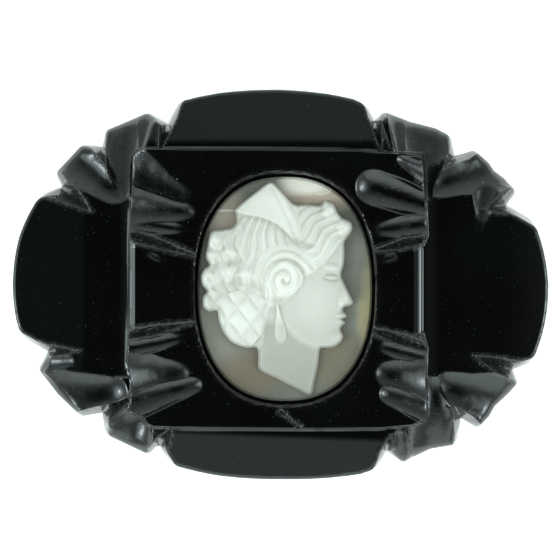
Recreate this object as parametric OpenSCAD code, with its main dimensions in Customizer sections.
/* [Frame] */
// Width of the carved frame, left to right
frame_w = 55; // [48:0.5:64]
// Height of the carved frame, bottom to top
frame_h = 40.3; // [36:0.1:48]
// How square the frame's oval is, 2 being an ellipse
frame_power = 2.2; // [2:0.05:2.6]
// Thickness of the low tier where it meets the raised one
low_t = 4.4; // [3.8:0.1:6]
// How far the top and bottom blocks fall from the raised tier to the rim
end_drop = 1.2; // [0.6:0.1:1.8]
// How far the side blocks fall from the raised tier to the rim
side_drop = 1.0; // [0.4:0.1:1.6]

/* [Raised tier] */
// Width of the raised tier
tier_w = 29.9; // [27:0.1:32]
// Height of the raised tier
tier_h = 28.4; // [27.4:0.1:30]
// The raised tier's middle, right of the frame's
tier_x = -0.45; // [-1:0.05:1]
// The raised tier's middle, above the frame's
tier_y = -0.5; // [-1:0.05:1]
// How far the raised tier stands above the low one
tier_rise = 2.2; // [1.6:0.1:3]
// Depth of the coves that fall from the tier's edge to the stone
cove_d = 0.5; // [0.3:0.05:1]

/* [Gouge cuts] */
// Width of a corner flute at its mouth
flute_w = 5.5; // [4.6:0.1:6]
// Depth of a corner flute at its mouth
flute_d = 1.15; // [0.7:0.05:1.6]
// Depth of a V cut at the rim
vee_d = 1.9; // [1.2:0.1:2.4]
// Half of the V cut's angle
vee_angle = 36; // [30:1:44]
// Width of the scooped channel beside the raised tier
channel_w = 5.4; // [4.4:0.1:6]
// Depth of the scooped channel
channel_d = 0.5; // [0.3:0.05:1.4]
// Width of a leaf cut at the raised tier's edge
leaf_w = 5.8; // [4.8:0.1:6.4]
// Depth of a leaf cut at the raised tier's edge
leaf_d = 1.75; // [1:0.05:1.9]

/* [Stone] */
// Width of the stone
stone_w = 17.8; // [16:0.1:19]
// Height of the stone
stone_h = 22.9; // [21.6:0.1:24]
// How square the stone's oval is
stone_power = 2.35; // [2:0.05:2.6]
// The stone's middle, right of the frame's
stone_x = 0.45; // [-1:0.05:1]
// The stone's middle, above the frame's
stone_y = -0.5; // [-1:0.05:1]
// Thickness of the stone's dark layer
stone_t = 2.6; // [2:0.1:3]
// Width of the bevel around the stone's face
stone_bevel = 0.2; // [0.1:0.05:0.5]
// Gap around the stone in its seat
seat_gap = 0.3; // [0.15:0.05:0.5]
// Thickness of frame left under the seat
seat_floor = 2.6; // [1.6:0.1:3]

/* [Bust] */
// Height of the bust, from its cap's point to the cut of its neck
bust_h = 21.8; // [19:0.1:22]
// Thickness of the white layer at the bust's highest point
bust_rise = 2.1; // [1.4:0.1:2.6]
// Thickness of the white layer at the bust's edge
bust_edge = 0.35; // [0.2:0.05:0.6]

/* [Pin fitting] */
// Room between the frame's back and the surface it lies on
stand_off = 3.6; // [3.2:0.1:4.4]
// Length of the bar on the back
bar_l = 36; // [30:0.5:42]
// Width of the bar, the hinge and the catch
bar_w = 5; // [4:0.1:7]
// Thickness of the bar
bar_t = 0.8; // [0.6:0.1:1.2]
// Distance between the hinge and the catch
hinge_span = 31; // [26:0.5:36]
// Diameter of the pin's stem
stem_d = 0.9; // [0.7:0.05:1.2]
// Length of the hinge block
hinge_l = 3; // [2.4:0.1:4]
// Length of the catch
catch_l = 3.2; // [2.4:0.1:4]
// Wall of the catch
catch_t = 0.7; // [0.5:0.05:0.8]

/* [Hidden] */

// clearance that parts one piece from the next, and overshoot of a cut
gap = 0.05;
over = 0.25 * low_t;

back_z = stand_off;
foot_z = back_z + low_t;
top_z = foot_z + tier_rise;
seat_z = back_z + seat_floor;
stone_z = seat_z + gap;
bust_z = stone_z + stone_t + gap;
half_w = frame_w / 2;
half_h = frame_h / 2;
tier_hw = tier_w / 2;
tier_hh = tier_h / 2;
rim_steps = 5;

// a point by its shares of the frame's, the tier's or the stone's half sizes
function on_frame(x, y) = [x * half_w, y * half_h];
function on_tier(x, y) = [tier_x + x * tier_hw, tier_y + y * tier_hh];
function on_stone(x, y) = [stone_x + x * stone_w / 2, stone_y + y * stone_h / 2];

// the reach of an oval of half sizes 1 at an angle
function reach(a, power) = pow(pow(abs(cos(a)), power) + pow(abs(sin(a)), power), -1 / power);

function oval(w, h, power, steps) = [
  for (i = [0:steps - 1])
    let (a = 360 * i / steps, r = reach(a, power))
      [w / 2 * r * cos(a), h / 2 * r * sin(a)]
];

// corners of the rim before its V cuts
// columns: angle on the oval, inset as a share of the reach, steps to the next corner
rim = [
  [-24, -0.001, rim_steps],
  [0, 0.002, rim_steps],
  [18, 0.017, 1],
  [29, 0.027, 1],
  [35, 0.037, 1],
  [43, 0.032, 1],
  [51, 0.039, 1],
  [59, 0.062, 1],
  [64, 0.062, 1],
  [71, 0.036, 2],
  [78, 0.022, 3],
  [90, 0.006, rim_steps],
  [111, 0.013, 1],
  [120, 0.024, 1],
  [130, 0.008, 1],
  [138, 0.008, 1],
  [145, 0.018, 1],
  [154, 0.013, rim_steps],
  [171, 0, rim_steps],
  [186, 0.001, 1],
  [195, 0.008, 1],
  [199, 0.03, 1],
  [204, 0.022, 1],
  [213, 0.025, 1],
  [222, 0.025, 1],
  [229, 0.02, 1],
  [241, 0.025, 1],
  [246, 0.009, rim_steps],
  [267, 0.005, 1],
  [276, -0.003, 2],
  [288, -0.005, 1],
  [296, 0, 1],
  [302, 0.018, 1],
  [309, -0.014, 1],
  [318, -0.004, 1],
  [322, 0.011, 1],
  [327, -0.003, 1],
];
function rim_point(a, inset) =
  let (r = reach(a, frame_power) * (1 - inset)) on_frame(r * cos(a), r * sin(a));
function rim_path() = [
  for (i = [0:len(rim) - 1])
    let (a = rim[i], last = i == len(rim) - 1, b = last ? [rim[0][0] + 360, rim[0][1]] : rim[i + 1])
      for (k = [0:a[2] - 1])
        let (t = k / a[2]) rim_point(a[0] + (b[0] - a[0]) * t, a[1] + (b[1] - a[1]) * t)
];

// the V cuts of the low tier, three at each corner, that part the blocks from the flutes
// columns: point of the cut at the rim x, y in frame shares, directions of its two sides,
// inner end x, y in tier shares, width of the cut as a share of its usual width
vees = [
  [0.849, 0.406, -31, 54, 1.02, 0.57, 0.9],
  [0.652, 0.656, 18, 100, 1.0, 0.7, 0.5],
  [0.351, 0.834, 44, 115, 0.77, 0.98, 0.5],
  [-0.42, 0.822, 64, 149, -0.78, 0.97, 0.5],
  [-0.668, 0.704, 78, 171, -1.03, 0.62, 0.5],
  [-0.82, 0.497, 117, 200, -1.0, 0.5, 0.8],
  [-0.873, -0.343, 148, 244, -1.0, -0.5, 0.9],
  [-0.67, -0.662, 190, 279, -1.0, -0.74, 0.5],
  [-0.458, -0.825, 224, 303, -0.88, -0.97, 0.5],
  [0.396, -0.855, 240, 325, 0.8, -0.98, 0.55],
  [0.675, -0.7, 262, 338, 1.0, -0.72, 0.5],
  [0.87, -0.438, 293, 381, 1.02, -0.53, 0.9],
];
notch_reach = half_w;

// the flutes of the low tier, two at each corner
// columns: inner end x, y in tier shares, mouth x, y in frame shares,
// mouth width and depth as shares of the usual ones
flutes = [
  [0.95, 0.7, 0.553, 0.82, 0.91, 1.0],
  [1.0, 0.64, 0.8, 0.586, 1.1, 1.0],
  [-1.02, 0.62, -0.578, 0.84, 0.87, 1.0],
  [-1.0, 0.58, -0.785, 0.645, 0.86, 0.9],
  [-0.98, -0.73, -0.822, -0.565, 1.1, 1.0],
  [-0.97, -0.77, -0.597, -0.83, 1.0, 1.0],
  [1.02, -0.68, 0.815, -0.625, 1.1, 1.0],
  [1.0, -0.79, 0.571, -0.86, 1.05, 0.9],
];
flute_in_w = 0.26;
flute_in_d = 0.3;

// the scooped channels beside the raised tier
// columns: middle x from the tier's side as a share of the channel's width,
// ends y in tier shares, side, width as a share of the usual one
channels = [
  [0.48, -0.5, 0.53, -1, 0.93],
  [0.52, -0.52, 0.55, 1, 1.15],
];

// corners of the raised tier
// columns: x, y in tier shares
tier_rim = [
  [0.995, 0.98],
  [-0.4, 1.0],
  [-0.965, 0.99],
  [-0.98, 0.9],
  [-1.0, 0.35],
  [-1.0, -0.35],
  [-0.99, -0.94],
  [-0.92, -1.0],
  [0.66, -1.0],
  [1.01, -0.925],
  [0.99, -0.3],
  [1.0, 0.4],
];

// the leaf cuts and small scoops of the raised tier, which open through its edge
// columns: inner end x, y in stone shares, outer end x, y in tier shares,
// inner and outer width, inner and outer depth, as shares of a leaf's
tier_cuts = [
  [-0.86, 0.7, -1.0, 0.71, 0.3, 1.07, 0.35, 1.0],
  [-0.84, 0.52, -1.0, 0.5, 0.14, 0.34, 0.2, 0.6],
  [-0.82, -0.82, -1.0, -0.71, 0.25, 0.95, 0.3, 1.0],
  [-0.9, -0.4, -1.0, -0.45, 0.14, 0.36, 0.2, 0.6],
  [0.88, -0.72, 1.0, -0.76, 0.25, 0.85, 0.3, 0.95],
  [0.9, -0.5, 1.0, -0.56, 0.14, 0.36, 0.2, 0.6],
  [0.9, 0.46, 1.0, 0.48, 0.16, 0.4, 0.2, 0.55],
];
// the V cuts of the raised tier
// columns: inner end x, y in stone shares, outer end x, y in tier shares
tier_vees = [
  [-0.95, 0.32, -1.0, 0.39],
  [-0.95, -0.27, -1.0, -0.33],
  [0.97, -0.38, 1.0, -0.45],
  [0.95, 0.34, 1.0, 0.36],
];
// the upper right leaf, a closed hollow
// columns: middle x, y in tier shares, half length and half width as shares of a leaf's
// width, depth as a share of a leaf's, angle
hollow = [0.76, 0.69, 0.72, 0.44, 0.95, -14];
// the coves along the tier's four sides
// columns: side direction, middle of the cove from the tier's edge, as a share of the half
// size, width as a share of the half size, ends along the side in tier shares
coves = [
  [90, 0.2, 0.38, -1.1, 1.1],
  [-90, 0.16, 0.3, -1.1, 1.1],
  [180, 0.38, 0.73, -0.46, 0.46],
  [0, 0.28, 0.54, -0.52, 0.46],
];

// height of the low tier's sloping faces at a point
function fall(v, foot, rim, drop) = drop * max(0, (v - foot) / (rim - foot));
function low_z(p) = foot_z - max(
  fall(p[1], tier_y + tier_hh, half_h, end_drop),
  fall(-p[1], tier_hh - tier_y, half_h, end_drop),
  fall(p[0], tier_x + tier_hw, half_w, side_drop),
  fall(-p[0], tier_hw - tier_x, half_w, side_drop)
);
function mix(a, b, t) = a + (b - a) * t;
function at(p, z) = [p[0], p[1], z];

// lays a child's z axis along the line from p to q, with its x axis downwards
module along(p, q) {
  d = q - p;
  l = norm(d);
  translate(p)
    rotate([0, acos(d[2] / l), atan2(d[1], d[0])])
      children();
}

// a round gouge's cut from p to q, of widths and depths there, run on past both ends
module gouge(p, q, wp, wq, dp, dq, before = 0.1, after = 0.5) {
  a = mix(p, q, -before);
  b = mix(p, q, 1 + after);
  wa = mix(wp, wq, -before);
  wb = mix(wp, wq, 1 + after);
  da = mix(dp, dq, -before);
  db = mix(dp, dq, 1 + after);
  ra = (wa * wa / 4 + da * da) / (2 * da);
  rb = (wb * wb / 4 + db * db) / (2 * db);
  pa = a + [0, 0, ra - da];
  pb = b + [0, 0, rb - db];
  along(pa, pb)
    cylinder(h = norm(pb - pa), r1 = ra, r2 = rb, $fn = 96);
}

// a V tool's cut whose bottom runs from depth dp at p to depth dq at q
module vee(p, q, dp, dq, before = 0.1, after = 0.4) {
  low_p = p - [0, 0, dp];
  low_q = q - [0, 0, dq];
  a = mix(low_p, low_q, -before);
  b = mix(low_p, low_q, 1 + after);
  up = dq + low_t;
  side = up * tan(vee_angle);
  along(a, b)
    linear_extrude(norm(b - a))
      polygon([[0, 0], [-up, side], [-up, -side]]);
}

// a block's flat top, cut away above a plane that falls outwards
module slope(turn, foot, rim, drop) {
  l = frame_w * 2;
  rotate([0, 0, turn])
    translate([foot, 0, foot_z])
      rotate([0, atan2(drop, rim - foot), 0])
        translate([-over, -l / 2, 0])
          cube([l, l, l]);
}

module low_tier() {
  difference() {
    translate([0, 0, back_z])
      linear_extrude(low_t)
        polygon(rim_path());
    slope(90, tier_y + tier_hh, half_h, end_drop);
    slope(-90, tier_hh - tier_y, half_h, end_drop);
    slope(0, tier_x + tier_hw, half_w, side_drop);
    slope(180, tier_hw - tier_x, half_w, side_drop);
    for (v = vees) {
      p = on_frame(v[0], v[1]);
      q = on_tier(v[4], v[5]);
      translate([0, 0, back_z - over])
        linear_extrude(low_t + 2 * over)
          polygon([
            p,
            p + notch_reach * [cos(v[2]), sin(v[2])],
            p + notch_reach * [cos(v[3]), sin(v[3])],
          ]);
      vee(at(q, low_z(q)), at(p, low_z(p)), vee_d * v[6] * 0.5, vee_d * v[6]);
    }
    for (f = flutes) {
      p = on_tier(f[0], f[1]);
      q = on_frame(f[2], f[3]);
      gouge(
        at(p, low_z(p)), at(q, low_z(q)),
        flute_w * flute_in_w, flute_w * f[4], flute_d * flute_in_d, flute_d * f[5]
      );
    }
    for (c = channels) {
      x = tier_x + c[3] * (tier_hw + channel_w * c[0]);
      low = on_tier(0, c[1])[1];
      high = on_tier(0, c[2])[1];
      gouge(
        [x, low, low_z([x, 0])], [x, high, low_z([x, 0])],
        channel_w * c[4], channel_w * c[4], channel_d, channel_d, 0, 0
      );
    }
  }
}

module coved_block() {
  difference() {
    translate([0, 0, back_z + over])
      linear_extrude(top_z - back_z - over)
        polygon([for (c = tier_rim) on_tier(c[0], c[1])]);
    for (c = coves) {
      upright = abs(sin(c[0])) > 0.5;
      half = upright ? tier_hh : tier_hw;
      span = upright ? tier_hw : tier_hh;
      translate([tier_x, tier_y, top_z])
        rotate([0, 0, c[0]])
          gouge(
            [half * (1 - c[1]), span * c[3], 0], [half * (1 - c[1]), span * c[4], 0],
            half * c[2], half * c[2], cove_d, cove_d, 0, 0
          );
    }
  }
}

module raised_tier() {
  difference() {
    coved_block();
    for (c = tier_cuts) {
      p = on_stone(c[0], c[1]);
      q = on_tier(c[2], c[3]);
      gouge(
        at(p, top_z), at(q, top_z),
        leaf_w * c[4], leaf_w * c[5], leaf_d * c[6], leaf_d * c[7], 0.3, 0.3
      );
    }
    for (c = tier_vees) {
      p = on_stone(c[0], c[1]);
      q = on_tier(c[2], c[3]);
      vee(at(p, top_z), at(q, top_z), vee_d * 0.72, vee_d * 0.75, 0.3, 0.3);
    }
    leaf_hollow();
  }
}

// a closed leaf-shaped hollow, cut by the outside of a ring
module leaf_hollow() {
  long = leaf_w * hollow[2];
  wide = leaf_w * hollow[3];
  d = leaf_d * hollow[4];
  r_long = (long * long + d * d) / (2 * d);
  r_wide = (wide * wide + d * d) / (2 * d);
  translate(at(on_tier(hollow[0], hollow[1]), top_z + r_long - d))
    rotate([90, 0, hollow[5]])
      rotate_extrude($fn = 96)
        translate([r_long - r_wide, 0])
          circle(r_wide, $fn = 64);
}

module frame() {
  color([0.05, 0.05, 0.06])
    difference() {
      union() {
        low_tier();
        raised_tier();
      }
      translate([stone_x, stone_y, seat_z])
        linear_extrude(top_z)
          polygon(oval(stone_w + 2 * seat_gap, stone_h + 2 * seat_gap, stone_power, 72));
    }
}

module cameo_ground() {
  color([0.66, 0.58, 0.5])
    translate([stone_x, stone_y, stone_z]) {
      straight = stone_t - stone_bevel;
      lean = 1 - 2 * stone_bevel / stone_w;
      linear_extrude(straight)
        polygon(oval(stone_w, stone_h, stone_power, 72));
      translate([0, 0, straight])
        linear_extrude(stone_bevel, scale = lean)
          polygon(oval(stone_w, stone_h, stone_power, 72));
    }
}

// outline of the bust, from the forehead's hairline down the face and round
// columns: x, y as shares of half of the bust's height, from the head's middle
bust_rim = [
  [0.578, 0.44],
  [0.575, 0.3],
  [0.546, 0.133],
  [0.57, 0.064],
  [0.656, -0.115],
  [0.573, -0.174],
  [0.564, -0.206],
  [0.596, -0.243],
  [0.555, -0.286],
  [0.583, -0.317],
  [0.541, -0.375],
  [0.564, -0.44],
  [0.541, -0.5],
  [0.472, -0.546],
  [0.349, -0.565],
  [0.33, -0.706],
  [0.294, -0.89],
  [0.261, -1.0],
  [0.124, -0.94],
  [-0.05, -0.85],
  [-0.22, -0.76],
  [-0.235, -0.64],
  [-0.25, -0.56],
  [-0.353, -0.55],
  [-0.472, -0.505],
  [-0.555, -0.413],
  [-0.601, -0.303],
  [-0.62, -0.202],
  [-0.7, -0.215],
  [-0.752, -0.16],
  [-0.745, -0.07],
  [-0.72, -0.018],
  [-0.765, 0.04],
  [-0.77, 0.12],
  [-0.7, 0.22],
  [-0.725, 0.303],
  [-0.705, 0.43],
  [-0.665, 0.541],
  [-0.5, 0.57],
  [-0.436, 0.624],
  [-0.45, 0.739],
  [-0.243, 0.917],
  [-0.101, 1.0],
  [-0.041, 0.945],
  [0.11, 0.794],
  [0.353, 0.784],
  [0.394, 0.83],
  [0.472, 0.798],
  [0.56, 0.665],
  [0.628, 0.633],
  [0.651, 0.569],
  [0.615, 0.495],
];
bust_x = -0.011 * stone_w;
bust_steps = 3;
bust_rings = 24;

// a smooth curve through the rows of the outline
function spline(a, b, c, d, t) =
  0.5 * (2 * b + (c - a) * t + (2 * a - 5 * b + 4 * c - d) * t * t + (3 * b - a - 3 * c + d) * t * t * t);
function bust_path() =
  let (n = len(bust_rim)) [
    for (i = [0:n - 1])
      for (k = [0:bust_steps - 1])
        spline(
          bust_rim[(i + n - 1) % n], bust_rim[i], bust_rim[(i + 1) % n], bust_rim[(i + 2) % n],
          k / bust_steps
        )
  ];
// a round swelling of height 1 about x, y, with half widths a, b
function swell(p, x, y, a, b) =
  let (s = pow((p[0] - x) / a, 2) + pow((p[1] - y) / b, 2)) s < 1 ? pow(1 - s, 1.5) : 0;
function step_up(v, from, to) = let (t = min(1, max(0, (v - from) / (to - from)))) t * t * (3 - 2 * t);
// shares of a point's way out from the coil over the ear, and its angle there
coil = [0.016, 0.095];
function coil_r(p) = norm(p - coil);
function coil_a(p) = atan2(p[1] - coil[1], p[0] - coil[0]);
// 1 where hair covers the head, 0 on the face and neck
function hair(p) =
  let (
    hairline = 0.3 + 0.7 * (p[1] - 0.1),
    nape = -0.08 + 0.25 * (p[1] + 0.2)
  )
    p[1] > 0.1
      ? step_up(min(hairline, 0.58) - p[0], -0.02, 0.06)
      : step_up((p[1] > -0.05 ? 0.2 : nape) - p[0], -0.03, 0.04);
// 1 on the net over the rolled hair at the nape
function net(p) = step_up(-0.1 - p[0], 0, 0.04) * step_up(-0.03 - p[1], 0, 0.04);
// 1 on the cap and its band
function cap(p) =
  let (brim = 0.5 - 0.35 * p[0] + 0.22 * step_up(-p[0], 0.05, 0.4))
    step_up(p[1] - brim, -0.01, 0.03) * step_up(0.2 - p[0], 0, 0.03);
// height of the bust's face as a share of its rise, at shares p, s of the way to its edge
function relief(p, s) =
  let (
    round = pow(1 - pow(s, 2.6), 0.55),
    waves = 0.06 * cos(coil_a(p) * 5 + coil_r(p) * 700) * step_up(coil_r(p), 0.16, 0.24),
    pillows = 0.11 * abs(sin((p[0] + p[1]) * 700 + 50)) * abs(sin((p[0] - p[1]) * 700)) - 0.02,
    knob = swell(p, coil[0], coil[1], 0.19, 0.19) * (0.34 + 0.07 * cos(coil_r(p) * 2600 - coil_a(p))),
    curls = 0.16 * (
      swell(p, -0.64, 0.45, 0.12, 0.12) + swell(p, -0.66, 0.11, 0.12, 0.12)
        + swell(p, -0.68, -0.13, 0.1, 0.1) + swell(p, 0.58, 0.57, 0.1, 0.1)
    ),
    drop = 0.3 * swell(p, -0.03, -0.43, 0.075, 0.15),
    eye = 0.09 * swell(p, 0.45, 0.1, 0.07, 0.045) - 0.12 * swell(p, 0.45, 0.11, 0.13, 0.1),
    nose = 0.2 * swell(p, 0.6, -0.09, 0.1, 0.13),
    mouth = 0.1 * swell(p, 0.55, -0.28, 0.09, 0.08) - 0.1 * swell(p, 0.54, -0.28, 0.09, 0.02),
    cheek = 0.12 * swell(p, 0.34, -0.16, 0.24, 0.3),
    throat = -0.26 * step_up(-p[1], 0.46 + 0.3 * p[0], 0.56 + 0.3 * p[0]) * (1 - hair(p)),
    locks = (1 - net(p)) * waves + net(p) * pillows
  )
    round * (0.64 + throat + cheek + (0.14 + locks) * hair(p) * (1 - cap(p)) + 0.3 * cap(p))
      + knob + curls + drop + eye + nose * round + mouth;
function bust_z_at(p, s) = bust_edge + (bust_rise - bust_edge) * max(0, min(1, relief(p, s)));

module cameo_relief() {
  path = bust_path();
  n = len(path);
  half = bust_h / 2;
  rings = [for (j = [0:bust_rings]) 1 - j / (bust_rings + 1)];
  points = concat(
    [for (p = path) [p[0] * half, p[1] * half, 0]],
    [for (s = rings) for (p = path) [p[0] * half * s, p[1] * half * s, bust_z_at(p * s, s)]],
    [[0, 0, bust_z_at([0, 0], 0)]]
  );
  faces = concat(
    [[for (i = [0:n - 1]) i]],
    [
      for (j = [0:bust_rings])
        for (i = [0:n - 1])
          let (a = j * n + i, b = j * n + (i + 1) % n)
            each [[a, a + n, b + n], [a, b + n, b]]
    ],
    [for (i = [0:n - 1]) let (b = (bust_rings + 1) * n) [b + i, (bust_rings + 2) * n, b + (i + 1) % n]]
  );
  color([0.93, 0.94, 0.92])
    translate([stone_x + bust_x, stone_y, bust_z])
      polyhedron(points, faces);
}

module brooch_pin() {
  bar_z = back_z - gap - bar_t;
  stem_z = bar_z / 2;
  hinge_x = hinge_span / 2;
  color([0.78, 0.62, 0.32]) {
    translate([-bar_l / 2, -bar_w / 2, bar_z])
      cube([bar_l, bar_w, bar_t]);
    translate([hinge_x - hinge_l / 2, -bar_w / 2, 0])
      cube([hinge_l, bar_w, bar_z + bar_t / 2]);
    translate([hinge_x, 0, stem_z])
      rotate([0, -90, 0]) {
        cylinder(h = hinge_span - stem_d, d = stem_d, $fn = 32);
        translate([0, 0, hinge_span - stem_d])
          cylinder(h = catch_l, d1 = stem_d, d2 = stem_d / 4, $fn = 32);
      }
    translate([-hinge_x - catch_l / 2, 0, 0])
      pin_catch(bar_z);
  }
}

// the catch: a foot and a wall that with the bar hold the stem's end from three sides
module pin_catch(bar_z) {
  translate([0, -bar_w / 2, 0])
    cube([catch_l, bar_w, catch_t]);
  translate([0, -bar_w / 2, 0])
    cube([catch_l, catch_t, bar_z + bar_t / 2]);
}

frame();
cameo_ground();
cameo_relief();
brooch_pin();
